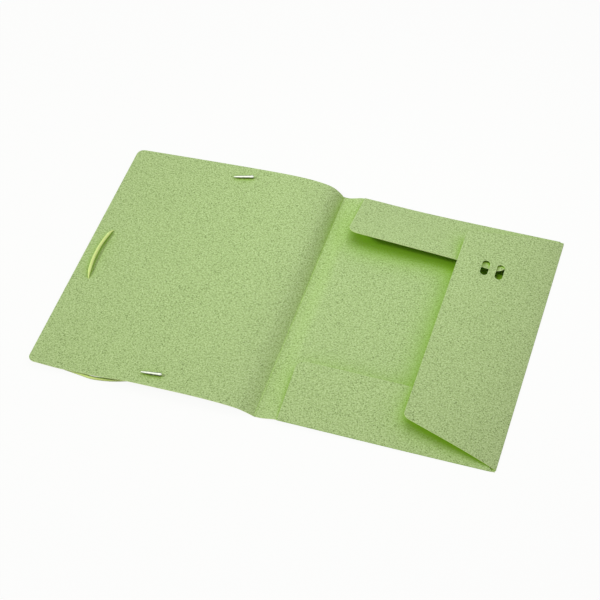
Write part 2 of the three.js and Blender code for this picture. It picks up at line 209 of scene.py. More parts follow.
# Flecks of the card: cells per metre, stretch, turn, share of the cells that
# hold one, and size in cells
FLECKS = {
    "pale": (700, 1.4, 0.5, 0.30, 0.5),
    "fine": (620, 1.3, 1.1, 0.30, 0.5),
    "fibre": (400, 2.8, -0.6, 0.20, 0.42),
    "cross": (360, 3.2, 0.9, 0.16, 0.42),
}
FLECK_STRENGTH = 0.8
# Painted shade between close surfaces: how far it looks, and the open share of the
# surroundings at which it is full and gone
CARD_PAINTED_SHADE = (40 * MM, 0.38, 0.98)
ELASTIC_PAINTED_SHADE = (6 * MM, 0.4, 0.95)
# Waves of the braid along the whole elastic and around it
WAVES_ALONG = 260.0
WAVES_AROUND = 6.0

FLOOR_WIDTH = 8
FLOOR_GAP = 0.2 * MM
# Share of plain white in the floor as it is seen
FLOOR_WHITE = 0.93
# Soft lights: place from the middle of the open folder, width and colour
LIGHT_AIM = (-0.12, 0, 0)
LIGHTS = {
    "left": ((-2.7, -1.2, 2.3), 0.5, (0.785, 1.0, 0.586)),
    "top": ((0.07, 0.12, 0.5), 0.5, (0.84, 1.0, 0.773)),
}


def linear(red, green, blue):
    """Scene colour of a colour given in the usual 0 to 255 steps."""
    def channel(value):
        value /= 255
        return value / 12.92 if value <= 0.04045 else ((value + 0.055) / 1.055) ** 2.4
    return tuple(channel(value) for value in (red, green, blue))


class FolderCard(bpy.types.PropertyGroup):
    """Sizes of the card sheet."""

    cover_width: FloatProperty(
        name="Cover width",
        description="Front cover along the card, from the spine's crease",
        default=0.2365, min=0.2, max=0.3, unit="LENGTH",
    )
    corner_radius: FloatProperty(
        name="Corner radius",
        description="Rounding of the front cover's outer corners",
        default=0.0075, min=0.0, max=0.03, unit="LENGTH",
    )
    ridge_bottom: FloatProperty(
        name="Bottom ridge",
        description="Height of the crease between spine and back cover at its bottom end",
        default=0.0028, min=0.0, max=0.006, unit="LENGTH",
    )
    ridge_top: FloatProperty(
        name="Top ridge",
        description="Height of the crease between spine and back cover at its top end",
        default=0.0042, min=0.0, max=0.006, unit="LENGTH",
    )
    side_flap_depth: FloatProperty(
        name="Side flap depth",
        description="Side flap from its fold to its free edge",
        default=0.0995, min=0.05, max=0.15, unit="LENGTH",
    )
    cell: FloatProperty(
        name="Mesh cell",
        description="Length of one face of the bent sheets",
        default=0.003, min=0.001, max=0.01, unit="LENGTH",
    )


class FolderElastic(bpy.types.PropertyGroup):
    """Sizes of the elastic and its bars."""

    diameter: FloatProperty(
        name="Diameter",
        description="Thickness of the round elastic",
        default=0.0034, min=0.001, max=0.006, unit="LENGTH",
    )
    clip_length: FloatProperty(
        name="Bar length",
        description="Length of the metal bar at each end",
        default=0.0215, min=0.01, max=0.03, unit="LENGTH",
    )
    sides: IntProperty(
        name="Sides",
        description="Faces around the elastic",
        default=20, min=8, max=48,
    )


class FolderFinish(bpy.types.PropertyGroup):
    """Colours of the folder."""

    card: FloatVectorProperty(
        name="Card", description="Ground colour of the card",
        subtype="COLOR", size=3, min=0, max=1, default=linear(177, 203, 138),
    )
    dark_fleck: FloatVectorProperty(
        name="Dark fleck", description="Dark fibres in the card",
        subtype="COLOR", size=3, min=0, max=1, default=linear(88, 108, 48),
    )
    pale_fleck: FloatVectorProperty(
        name="Pale fleck", description="Pale fibres in the card",
        subtype="COLOR", size=3, min=0, max=1, default=linear(218, 236, 188),
    )
    # Painted shade: the card and the elastic turn to this green where other surfaces are close, in
    # place of real shade
    painted_shade: FloatVectorProperty(
        name="Crease shade", description="Green of the light that stays between the sheets",
        subtype="COLOR", size=3, min=0, max=1, default=linear(148, 194, 30),
    )
    # Painted highlight: the cut edge is paler than the card to stand in for the light the edges
    # catch
    cut_edge: FloatVectorProperty(
        name="Cut edge", description="Cut edge of the card",
        subtype="COLOR", size=3, min=0, max=1, default=linear(236, 250, 190),
    )
    elastic: FloatVectorProperty(
        name="Elastic", description="Yarn of the elastic",
        subtype="COLOR", size=3, min=0, max=1, default=linear(238, 255, 162),
    )
    metal: FloatVectorProperty(
        name="Metal", description="Metal of the bars",
        subtype="COLOR", size=3, min=0, max=1, default=linear(240, 241, 234),
    )


class FolderStage(bpy.types.PropertyGroup):
    """Camera and lights."""

    camera_place: FloatVectorProperty(
        name="Camera", description="Place of the camera",
        subtype="TRANSLATION", size=3, default=(0.28315, -1.41472, 1.56188),
    )
    azimuth: FloatProperty(
        name="Azimuth", description="Camera's turn around the folder",
        subtype="ANGLE", default=math.radians(16.307),
    )
    elevation: FloatProperty(
        name="Elevation", description="Camera's height above the table's level",
        subtype="ANGLE", default=math.radians(46.619),
    )
    roll: FloatProperty(
        name="Roll", description="Camera's turn about its own line of sight",
        subtype="ANGLE", default=math.radians(0.452),
    )
    lens: FloatProperty(
        name="Lens", description="Focal length in millimetres",
        default=126.49, min=20, max=300,
    )
    left_power: FloatProperty(
        name="Left light", description="Power of the light at the left, in watts",
        default=57.0, min=0, max=500,
    )
    top_power: FloatProperty(
        name="Top light", description="Power of the light overhead, in watts",
        default=1.12, min=0, max=500,
    )
    sky: FloatVectorProperty(
        name="Fill light", description="Colour of the even light from all round",
        subtype="COLOR", size=3, min=0, max=2, default=(0.41, 0.345, 0.37),
    )


# Shapes of the bent card


def smooth(value):
    """0 to 1 with soft ends."""
    value = min(max(value, 0.0), 1.0)
    return value * value * (3 - 2 * value)


def mix(low, high, share):
    return low + (high - low) * share


class SlopedPath:
    """Run, rise and slope along card that follows a given slope."""

    STEP = 0.5 * MM

    def __init__(self, slope_at, length):
        self.slope_at = slope_at
        self.run = [0.0]
        self.rise = [0.0]
        for index in range(math.ceil(length / self.STEP) + 1):
            slope = slope_at((index + 0.5) * self.STEP)
            self.run.append(self.run[-1] + self.STEP * math.cos(slope))
            self.rise.append(self.rise[-1] + self.STEP * math.sin(slope))

    def at(self, distance):
        place = max(distance, 0.0) / self.STEP
        low = min(int(place), len(self.run) - 2)
        share = place - low
        run = mix(self.run[low], self.run[low + 1], share)
        rise = mix(self.rise[low], self.rise[low + 1], share)
        return run, rise, self.slope_at(distance)


def arch_path(arch):
    scored, start, length, fall, droop = arch
    near, far = DROOP_DISTANCES

    def slope(distance):
        before_score = 1 - smooth((distance - SCORE_DISTANCE) / SCORE_WIDTH + 0.5)
        drooping = min(max((distance - near) / (far - near), 0), 1)
        dying = start * math.exp(-distance / length)
        return scored * before_score + dying - fall - droop * drooping

    return SlopedPath(slope, ARCH_REACH)


ARCH_PATHS = (arch_path(ARCH_BOTTOM), arch_path(ARCH_TOP))


def side_slope(depth):
    return SIDE_FLAP_START * math.exp(-depth / SIDE_FLAP_LENGTH) + SIDE_FLAP_REST


SIDE_PATH = SlopedPath(side_slope, SIDE_FLAP_REACH)


def ridge(x, y):
    """How far the crease beside the spine lifts the card at a place."""
    card = bpy.context.scene.folder_card
    share = (y + TOP) / (2 * TOP)
    height = mix(card.ridge_bottom, card.ridge_top, share)
    length = mix(*RIDGE_LENGTHS, share)
    crease = (BACK_LEFT + SPINE_RIGHT) / 2
    if x < crease:
        away = crease - RIDGE_CLIMB - x
        return height / RIDGE_CLIMB * (math.hypot(away, RIDGE_ROUNDING) - away) / 2
    return height * math.exp(-((x - crease) / length) ** RIDGE_POWER)


def cover_point(distance, y, offset=0.0):
    """A point of the open cover, offset from its inside face."""
    bottom, top = (path.at(distance) for path in ARCH_PATHS)
    share = (y + TOP) / (2 * TOP)
    run, rise, slope = (mix(low, high, share) for low, high in zip(bottom, top))
    sag = math.exp(-((distance - SAG_MIDDLE) / SAG_HALF_LENGTH) ** 4 - (y + TOP) / SAG_REACH)
    rise -= SAG_DEPTH * sag
    return Vector((
        COVER_RIGHT - run + offset * math.sin(slope),
        y,
        THICKNESS + rise + offset * math.cos(slope),
    ))


def bend_cover(point):
    return cover_point(COVER_RIGHT - point.x, point.y, point.z)


def bend_level(point):
    return Vector((point.x, point.y, point.z + ridge(point.x, point.y)))


def bend_side_flap(point):
    depth = BACK_RIGHT - point.x
    run, rise, slope = SIDE_PATH.at(depth)
    return Vector((
        BACK_RIGHT - run + point.z * math.sin(slope),
        point.y,
        FLAP_SEAT + rise + point.z * math.cos(slope),
    ))


def end_flap_bend(side, pressed_from, lifts):
    right = BACK_RIGHT - END_FLAP_SIDE_INSET
    reach = END_FLAP_DEPTH * math.tan(END_FLAP_MITRE)

    def bend(point):
        share = (point.x - pressed_from) / (right - reach - pressed_from)
        lift = mix(*lifts, min(max(share, 0), 1) ** END_FLAP_LIFT_POWER)
        depth = TOP - side * point.y
        along = depth * math.cos(lift) - point.z * math.sin(lift)
        height = FLAP_SEAT + depth * math.sin(lift) + point.z * math.cos(lift)
        return Vector((point.x, side * (TOP - along), height + ridge(point.x, side * TOP)))

    return bend


# Modelling helpers


def deselect():
    if bpy.context.object and bpy.context.object.mode != "OBJECT":
        bpy.ops.object.mode_set(mode="OBJECT")
    bpy.ops.object.select_all(action="DESELECT")


def activate(piece):
    deselect()
    piece.select_set(True)
    bpy.context.view_layer.objects.active = piece


def added(name):
    piece = bpy.context.object
    piece.name = name
    piece.data.name = name
    return piece


def apply_modifier(piece, kind, **settings):
    activate(piece)
    modifier = piece.modifiers.new(kind.title(), kind)
    for key, value in settings.items():
        setattr(modifier, key, value)
    bpy.ops.object.modifier_apply(modifier=modifier.name)


def turn_outwards(piece):
    """Points all faces of a closed piece outwards."""
    activate(piece)
    bpy.ops.object.mode_set(mode="EDIT")
    bpy.ops.mesh.select_all(action="SELECT")
    bpy.ops.mesh.normals_make_consistent(inside=False)
    bpy.ops.object.mode_set(mode="OBJECT")


def shade_smooth(piece, degrees):
    """Shades a piece smooth, but for its edges that are sharper than an angle."""
    activate(piece)
    bpy.ops.object.shade_smooth_by_angle(angle=math.radians(degrees))


def coat(piece, *names):
    """Gives a piece its materials."""
    for name in names:
        piece.data.materials.append(bpy.data.materials[name])


def blank(name, left, right, bottom, top, height):
    """A flat sheet of card of many cells, before it is cut and bent."""
    cell = bpy.context.scene.folder_card.cell
    deselect()
    bpy.ops.mesh.primitive_grid_add(
        x_subdivisions=max(round((right - left) / cell), 1),
        y_subdivisions=max(round((top - bottom) / (cell * CELL_STRETCH)), 1),
        size=1,
        calc_uvs=False,
        location=((left + right) / 2, (bottom + top) / 2, height),
    )
    piece = added(name)
    piece.scale = (right - left, top - bottom, 1)
    bpy.ops.object.transform_apply(location=True, rotation=True, scale=True)
    apply_modifier(piece, "SOLIDIFY", thickness=THICKNESS, offset=1.0)
    return piece


def outline_cutter(corners):
    """A tall prism on a flat outline. corners are x, y and rounding radius."""
    deselect()
    bpy.ops.mesh.primitive_circle_add(
        vertices=len(corners), fill_type="NGON", calc_uvs=False,
    )
    cutter = added("outline_cutter")
    for vertex, (x, y, _) in zip(cutter.data.vertices, corners):
        vertex.co = (x, y, -CUTTER_HEIGHT / 2)
    for index, (x, y, radius) in reversed(list(enumerate(corners))):
        if radius == 0:
            continue
        before = Vector(corners[index - 1][:2]) - Vector((x, y))
        after = Vector(corners[(index + 1) % len(corners)][:2]) - Vector((x, y))
        reach = radius / math.tan(before.angle(after) / 2)
        bpy.ops.object.mode_set(mode="EDIT")
        bpy.ops.mesh.select_mode(type="VERT")
        bpy.ops.mesh.select_all(action="DESELECT")
        bpy.ops.object.mode_set(mode="OBJECT")
        nearest = min(cutter.data.vertices, key=lambda v: (v.co.xy - Vector((x, y))).length)
        nearest.select = True
        bpy.ops.object.mode_set(mode="EDIT")
        bpy.ops.mesh.bevel(offset=reach, segments=CORNER_SEGMENTS, affect="VERTICES")
        bpy.ops.object.mode_set(mode="OBJECT")
    bpy.ops.object.mode_set(mode="EDIT")
    bpy.ops.mesh.select_all(action="SELECT")
    bpy.ops.mesh.extrude_region_move(TRANSFORM_OT_translate={"value": (0, 0, CUTTER_HEIGHT)})
    turn_outwards(cutter)
    return cutter


def slot_cutter(x, y, width, length):
    """A tall pin of a slot's shape, or a round one where length is width."""
    deselect()
    bpy.ops.mesh.primitive_cylinder_add(
        vertices=SLOT_SIDES, radius=width / 2, depth=CUTTER_HEIGHT, calc_uvs=False,
        location=(x, y, 0), rotation=(0, 0, math.pi / SLOT_SIDES),
    )
    cutter = added("slot_cutter")
    bpy.ops.object.transform_apply(location=True, rotation=True, scale=True)
    for vertex in cutter.data.vertices:
        vertex.co.y += math.copysign((length - width) / 2, vertex.co.y - y)
    return cutter


def cut(piece, cutter, operation):
    apply_modifier(piece, "BOOLEAN", operation=operation, object=cutter, solver="EXACT")
    cutter_mesh = cutter.data
    bpy.data.objects.remove(cutter)
    bpy.data.meshes.remove(cutter_mesh)


def map_grain(piece, grain):
    """Lays the card's grain on a piece, in metres; grain moves it sideways."""
    layer = piece.data.uv_layers.new(name="grain")
    for loop, place in zip(piece.data.loops, layer.data):
        point = piece.data.vertices[loop.vertex_index].co
        place.uv = (point.x + grain, point.y)


def bend(piece, place, grain=0.0):
    """Bends a flat sheet: place gives where each of its points goes."""
    # Cut edges get the cut edge material, paler than the card as a painted highlight
    for polygon in piece.data.polygons:
        polygon.material_index = 1 if abs(polygon.normal.z) < 0.5 else 0
    map_grain(piece, grain)
    for vertex in piece.data.vertices:
        vertex.co = place(vertex.co)
    shade_smooth(piece, 30)
    coat(piece, "speckled_card", "cut_edge")


def relax(piece, flap):
    """Rides a piece on a flap, with a mesh of its own."""
    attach(piece, flap)
    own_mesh(piece)


def strip(name, profile, bottom, top):
    """A long bead of one cross-section, whose corners are x and z."""
    deselect()
    bpy.ops.mesh.primitive_circle_add(
        vertices=len(profile), fill_type="NGON", calc_uvs=False,
    )
    piece = added(name)
    for vertex, (x, z) in zip(piece.data.vertices, profile):
        vertex.co = (x, bottom, z)
    bpy.ops.object.mode_set(mode="EDIT")
    bpy.ops.mesh.select_all(action="SELECT")
    step = (top - bottom) / FOLD_ROWS
    for _ in range(FOLD_ROWS):
        bpy.ops.mesh.extrude_region_move(TRANSFORM_OT_translate={"value": (0, step, 0)})
    turn_outwards(piece)
    return piece


# Materials


class Nodes:
    """Adds nodes to a material and joins them."""

    def __init__(self, name):
        material = bpy.data.materials.new(name)
        material.use_nodes = True
        self.material = material
        self.tree = material.node_tree
        self.shader = self.tree.nodes["Principled BSDF"]

    def add(self, kind, inputs=(), **settings):
        node = self.tree.nodes.new(kind)
        for key, value in settings.items():
            setattr(node, key, value)
        for key, value in dict(inputs).items():
            if isinstance(value, bpy.types.NodeSocket):
                self.tree.links.new(value, node.inputs[key])
            else:
                node.inputs[key].default_value = value
        return node

    def math(self, operation, first, second=0.0):
        node = self.add("ShaderNodeMath", {0: first, 1: second}, operation=operation)
        return node.outputs[0]

    def ramp(self, value, low, high, kind="SMOOTHSTEP"):
        node = self.add(
            "ShaderNodeMapRange",
            {"Value": value, "From Min": low, "From Max": high},
            interpolation_type=kind,
        )
        return node.outputs[0]

    def blend(self, factor, first, second):
        node = self.add("ShaderNodeMix", {0: factor, 6: first, 7: second}, data_type="RGBA")
        return node.outputs[2]

    def place(self, kind):
        return self.add("ShaderNodeTexCoord").outputs[kind]

    def noise(self, place, scale, detail, roughness):
        node = self.add("ShaderNodeTexNoise", {
            "Vector": place, "Scale": scale, "Detail": detail, "Roughness": roughness,
        })
        return node.outputs[0]

    def openness(self, shade, kind):
        """0 where a surface is close to others, 1 where it is free: the mask of the painted shade.
        """
        reach, full, gone = shade
        node = self.add("ShaderNodeAmbientOcclusion", {"Distance": reach}, samples=8)
        return self.ramp(node.outputs["AO"], full, gone, kind)

    def bump(self, height, strength, distance):
        node = self.add("ShaderNodeBump", {
            "Height": height, "Strength": strength, "Distance": distance,
        })
        self.link(node.outputs[0], "Normal")

    def link(self, output, key):
        self.tree.links.new(output, self.shader.inputs[key])

    def give(self, values):
        """Sets values on the shader's own sockets."""
        for key, value in values.items():
            self.shader.inputs[key].default_value = value


def opaque(colour, factor=1.0):
    return (*(channel * factor for channel in colour), 1.0)


def fleck_mask(nodes, place, scale, stretch, turn, share, size):
    """Scattered flecks: cells of a random pattern, of which a share is filled."""
    mapping = nodes.add("ShaderNodeMapping", {
        "Vector": place,
        "Rotation": (0, 0, turn),
        "Scale": (scale, scale * stretch, scale),
    })
    cells = nodes.add(
        "ShaderNodeTexVoronoi",
        {"Vector": mapping.outputs[0], "Scale": 1.0, "Randomness": 1.0},
    )
    pick = nodes.add("ShaderNodeSeparateColor", {0: cells.outputs["Color"]})
    chosen = nodes.math("LESS_THAN", pick.outputs[0], share)
    inside = nodes.ramp(cells.outputs["Distance"], size, size * 0.55)
    strength = nodes.math("MULTIPLY", inside, chosen)
    return nodes.math("MULTIPLY", strength, nodes.ramp(pick.outputs[1], 0.0, 0.9))


def card_material(finish):
    """Clouded card with pale and dark flecks, and painted shade: deep green where sheets lie close.
    """
    nodes = Nodes("speckled_card")
    ground = finish.card
    place = nodes.place("UV")
    colour = nodes.blend(
        nodes.ramp(nodes.noise(place, 620.0, 2.0, 0.7), 0.34, 0.66),
        nodes.blend(0.27, opaque(ground), opaque(finish.dark_fleck)),
        nodes.blend(0.6, opaque(ground), opaque(finish.pale_fleck)),
    )
    colour = nodes.blend(
        nodes.ramp(nodes.noise(place, 28.0, 2.0, 0.5), 0.3, 0.7), colour,
        nodes.blend(0.06, colour, opaque(ground, 0.8)),
    )
    masks = {name: fleck_mask(nodes, place, *shape) for name, shape in FLECKS.items()}
    for name, mask in masks.items():
        fleck = finish.pale_fleck if name == "pale" else finish.dark_fleck
        colour = nodes.blend(nodes.math("MULTIPLY", mask, FLECK_STRENGTH), colour, opaque(fleck))
    # Painted shade: towards the shade green where other surfaces are close
    shade = nodes.blend(nodes.openness(CARD_PAINTED_SHADE, "LINEAR"), opaque(finish.painted_shade), colour)
    nodes.link(shade, "Base Color")
    fibres = nodes.math("MULTIPLY", masks["fibre"], 0.5)
    nodes.bump(nodes.math("ADD", nodes.noise(place, 1500.0, 2.0, 0.6), fibres), 0.25, 0.1 * MM)
    nodes.give({"Roughness": 0.85, "Specular IOR Level": 0.4, "Sheen Weight": 0.08})


# Cut edge, paler than the card as a painted highlight
def cut_edge_material(finish):
    nodes = Nodes("cut_edge")
    fibres = nodes.noise(nodes.place("Object"), 900.0, 2.0, 0.6)
    colour = nodes.blend(
        nodes.ramp(fibres, 0.3, 0.7), opaque(finish.cut_edge, 0.85), opaque(finish.cut_edge),
    )
    nodes.link(colour, "Base Color")
    nodes.give({"Roughness": 0.9, "Specular IOR Level": 0.2})


def elastic_material(finish):
    """A round braid: two sets of yarns that cross on the elastic's own UV map, with painted shade
    where other surfaces are close.
    """
    nodes = Nodes("elastic_braid")
    split = nodes.add("ShaderNodeSeparateXYZ", {0: nodes.place("UV")})
    along = nodes.math("MULTIPLY", split.outputs[0], WAVES_ALONG)
    around = split.outputs[1]
    yarns = []
    for direction in (1.0, -1.0):
        turn = nodes.math("MULTIPLY", around, WAVES_AROUND * direction)
        phase = nodes.math("MULTIPLY", nodes.math("ADD", along, turn), 2 * math.pi)
        yarns.append(nodes.math("SINE", phase))
    weave = nodes.ramp(nodes.math("MULTIPLY", yarns[0], yarns[1]), -1.0, 1.0)
    colour = nodes.blend(weave, opaque(finish.elastic, 0.85), opaque(finish.elastic))
    # Painted shade: towards a darker copy of the shade green where other surfaces are close
    share = nodes.openness(ELASTIC_PAINTED_SHADE, "LINEAR")
    nodes.link(nodes.blend(share, opaque(finish.painted_shade, 0.6), colour), "Base Color")
    nodes.bump(weave, 0.5, 0.12 * MM)
    nodes.give({"Roughness": 0.4, "Sheen Weight": 0.3})


def metal_material(name, finish, painted_brightness):
    nodes = Nodes(name)
    tumbling = nodes.noise(nodes.place("Object"), 700.0, 3.0, 0.6)
    colour = nodes.blend(
        nodes.ramp(tumbling, 0.35, 0.7),
        opaque(finish.metal, 0.82 * painted_brightness), opaque(finish.metal, painted_brightness),
    )
    nodes.link(colour, "Base Color")
    nodes.link(nodes.ramp(tumbling, -0.9, 1.6), "Roughness")
    nodes.bump(tumbling, 0.12, 0.1 * MM)
    nodes.give({"Metallic": 1.0})


# The elastic's route


def hole_places():
    card = bpy.context.scene.folder_card
    bow = card.cover_width - BOW_OUTER_DISTANCE
    return {
        "upper_clip": (CLIP_DISTANCE, TOP - UPPER_CLIP_END),
        "upper_bow": (bow, BOW_TOP_Y),
        "lower_bow": (bow, BOW_BOTTOM_Y),
        "lower_clip": (CLIP_DISTANCE, LOWER_CLIP_END - TOP),
    }


def elastic_route():
    rest = bpy.context.scene.folder_elastic.diameter / 2 + ELASTIC_REST_GAP
    holes = {name: cover_point(*place) for name, place in hole_places().items()}

    def passage(hole, steps):
        return [
            Vector((hole.x + across * MM, hole.y + along * MM, mix(rest, hole.z, share)))
            for across, along, share in steps
        ]

    def loop(clip, bow, shares):
        return [
            Vector((mix(clip.x, bow.x, across), mix(bow.y, clip.y, along), rest))
            for across, along in shares
        ]

    upper_bow, lower_bow = holes["upper_bow"], holes["lower_bow"]
    bow = []
    for share in BOW_SHARES:
        swell = 4 * share * (1 - share)
        lean = BOW_LEAN * swell**BOW_LEAN_FULLNESS
        rise = BOW_RISE * swell**BOW_RISE_FULLNESS
        bow.append(upper_bow.lerp(lower_bow, share) + Vector((-lean, 0, rise)))
    return (
        passage(holes["upper_clip"], UPPER_CLIP_PASSAGE)
        + loop(holes["upper_clip"], upper_bow, UPPER_LOOP)
        + passage(upper_bow, UPPER_BOW_PASSAGE)
        + bow
        + passage(lower_bow, LOWER_BOW_PASSAGE)
        + loop(holes["lower_clip"], lower_bow, LOWER_LOOP)
        + passage(holes["lower_clip"], LOWER_CLIP_PASSAGE)
    )


def smooth_line(points, steps):
    """Points on one smooth curve through the given ones, with steps between
    each two of them. The knots are spaced by the root of their distance."""
    ends = [points[0] * 2 - points[1], *points, points[-1] * 2 - points[-2]]
    line = []
    for p0, p1, p2, p3 in zip(ends, ends[1:], ends[2:], ends[3:]):
        gaps = [math.sqrt((b - a).length) for a, b in ((p0, p1), (p1, p2), (p2, p3))]
        start = ((p1 - p0) / gaps[0] - (p2 - p0) / (gaps[0] + gaps[1]) + (p2 - p1) / gaps[1])
        end = ((p2 - p1) / gaps[1] - (p3 - p1) / (gaps[1] + gaps[2]) + (p3 - p2) / gaps[2])
        start, end = start * gaps[1], end * gaps[1]
        for index in range(steps):
            t = index / steps
            line.append(
                p1 * (2 * t**3 - 3 * t**2 + 1) + start * (t**3 - 2 * t**2 + t)
                + p2 * (3 * t**2 - 2 * t**3) + end * (t**3 - t**2)
            )
    return line + [points[-1]]


# Operators


class FOLDER_OT_stage(bpy.types.Operator):
    """Adds the camera, the floor, the two soft lights and the even fill"""

    bl_idname = "folder.stage"
    bl_label = "Stage"

    def execute(self, context):
        stage = context.scene.folder_stage
        self.camera(context, stage)
        self.floor()
        self.lights(stage)
        context.scene.view_settings.view_transform = "Standard"
        return {"FINISHED"}

    def camera(self, context, stage):
        deselect()
        bpy.ops.object.camera_add()
        camera = context.object
        camera.name = "camera"
        sin_a, cos_a = math.sin(stage.azimuth), math.cos(stage.azimuth)
        sin_e, cos_e = math.sin(stage.elevation), math.cos(stage.elevation)
        back = Vector((sin_a * cos_e, -cos_a * cos_e, sin_e))
        level = Vector((cos_a, sin_a, 0))
        raised = back.cross(level)
        right = level * math.cos(stage.roll) + raised * math.sin(stage.roll)
        up = back.cross(right)
        turn = Matrix((right, up, back)).transposed().to_4x4()
        camera.matrix_world = Matrix.Translation(stage.camera_place) @ turn
        camera.data.lens = stage.lens
        camera.data.sensor_width = 36
        camera.data.clip_start = 0.05
        context.scene.camera = camera

    def floor(self):
        deselect()
        bpy.ops.mesh.primitive_plane_add(size=FLOOR_WIDTH, location=(0, 0, -FLOOR_GAP))
        floor = added("floor")
        nodes = Nodes("pale_floor")
        nodes.give({"Base Color": (0.9, 0.9, 0.9, 1), "Roughness": 0.9})
        white = nodes.add("ShaderNodeEmission", {"Color": (1, 1, 1, 1), "Strength": 1.0})
        mixed = nodes.add("ShaderNodeMixShader", {
            0: nodes.math("MULTIPLY", self.seen_directly(nodes.tree.nodes), FLOOR_WHITE),
            1: nodes.shader.outputs[0],
            2: white.outputs[0],
        })
        nodes.tree.links.new(mixed.outputs[0], nodes.tree.nodes["Material Output"].inputs[0])
        floor.data.materials.append(nodes.material)

    def seen_directly(self, nodes):
        """1 for rays that show the surroundings, 0 for those that light the folder."""
        ray = nodes.new("ShaderNodeLightPath")
        total = ray.outputs["Is Camera Ray"]
        for kind in ("Is Glossy Ray", "Is Transmission Ray"):
            node = nodes.new("ShaderNodeMath")
            node.operation = "MAXIMUM"
            node.id_data.links.new(total, node.inputs[0])
            node.id_data.links.new(ray.outputs[kind], node.inputs[1])
            total = node.outputs[0]
        return total

    def lights(self, stage):
        for name, (offset, width, colour) in LIGHTS.items():
            deselect()
            place = Vector(LIGHT_AIM) + Vector(offset)
            bpy.ops.object.light_add(type="AREA", location=place)
            light = bpy.context.object
            light.name = name + "_light"
            light.rotation_euler = Vector(offset).to_track_quat("Z", "Y").to_euler()
            light.data.shape = "DISK"
            light.data.size = width
            light.data.energy = getattr(stage, name + "_power")
            light.data.color = colour
        world = bpy.data.worlds.new("studio")
        bpy.context.scene.world = world
        world.use_nodes = True
        tree = world.node_tree
        sky = tree.nodes["Background"]
        sky.inputs[0].default_value = (*stage.sky, 1)
        white = tree.nodes.new("ShaderNodeBackground")
        white.inputs[0].default_value = (1, 1, 1, 1)
        white.inputs[1].default_value = 1.0
        mixed = tree.nodes.new("ShaderNodeMixShader")
        tree.links.new(self.seen_directly(tree.nodes), mixed.inputs[0])
        tree.links.new(sky.outputs[0], mixed.inputs[1])
        tree.links.new(white.outputs[0], mixed.inputs[2])
        tree.links.new(mixed.outputs[0], tree.nodes["World Output"].inputs[0])


class FOLDER_OT_finishes(bpy.types.Operator):
    """Makes the card, its cut edge, the braid, and the metal in a lit copy and a darker copy for
    painted shade
    """

    bl_idname = "folder.finishes"
    bl_label = "Finishes"

    def execute(self, context):
        finish = context.scene.folder_finish
        card_material(finish)
        cut_edge_material(finish)
        elastic_material(finish)
        # A lit copy and a darkened copy of the metal, for the bars' painted light and shade
        metal_material("bright_metal", finish, 1)
        metal_material("dull_metal", finish, 0.2)
        return {"FINISHED"}


class FOLDER_OT_elastic(bpy.types.Operator):
    """Lays the round elastic along its route, through the cover's holes"""

    bl_idname = "folder.elastic"
    bl_label = "Elastic"

    def execute(self, context):
        sizes = context.scene.folder_elastic
        line = smooth_line(elastic_route(), ROUTE_STEPS)
        curve = bpy.data.curves.new("elastic", "CURVE")
        curve.dimensions = "3D"
        spline = curve.splines.new("POLY")
        spline.points.add(len(line) - 1)
        holes = [cover_point(*hole_places()[name]) for name in ("upper_bow", "lower_bow")]
        for point, place in zip(spline.points, line):
            away = min((place - hole).length for hole in holes)
            point.co = (*place, 1)
            point.radius = mix(SQUEEZED, 1, smooth(away / SQUEEZED_LENGTH))
        curve.bevel_depth = sizes.diameter / 2
        curve.bevel_resolution = sizes.sides // 4
        curve.use_fill_caps = True
        piece = bpy.data.objects.new("elastic", curve)
        context.collection.objects.link(piece)
        length = sum((b - a).length for a, b in zip(line, line[1:]))
        coat(piece, "elastic_braid")
        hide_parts("elastic_cord")
        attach(piece, "front_cover")
        tuple(line[0])
        return {"FINISHED"}


class FOLDER_OT_covers(bpy.types.Operator):
    """Makes the back cover, the spine and the arched front cover"""

    bl_idname = "folder.covers"
    bl_label = "Covers"

    def execute(self, context):
        card = context.scene.folder_card
        seam = BACK_LEFT + PANEL_SEAM
        back = blank("back_panel", seam, BACK_RIGHT, -TOP, TOP, 0)
        bend(back, bend_level)
        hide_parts("back_cover")
        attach(back, "back_cover")

        spine = blank("spine_panel", SPINE_LEFT, seam, -TOP, TOP, 0)
        bend(spine, bend_level)
        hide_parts("spine")
        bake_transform(spine)

        outer = COVER_RIGHT - card.cover_width
        cover = blank(
            "front_panel", outer - MARGIN, COVER_RIGHT, -TOP - MARGIN, TOP + MARGIN, -THICKNESS,
        )
        cut(cover, outline_cutter([
            (outer, -TOP, card.corner_radius),
            (COVER_RIGHT + OVERSHOOT, -TOP, 0),
            (COVER_RIGHT + OVERSHOOT, TOP, 0),
            (outer, TOP, card.corner_radius),
        ]), "INTERSECT")
        for name, (distance, y) in hole_places().items():
            fit = SQUEEZED if "bow" in name else 1
            hole = fit * context.scene.folder_elastic.diameter + 2 * HOLE_CLEARANCE
            cut(cover, slot_cutter(COVER_RIGHT - distance, y, hole, hole), "DIFFERENCE")
        bend(cover, bend_cover)
        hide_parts("cover_bend", "front_cover")
        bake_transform(cover)
        return {"FINISHED"}


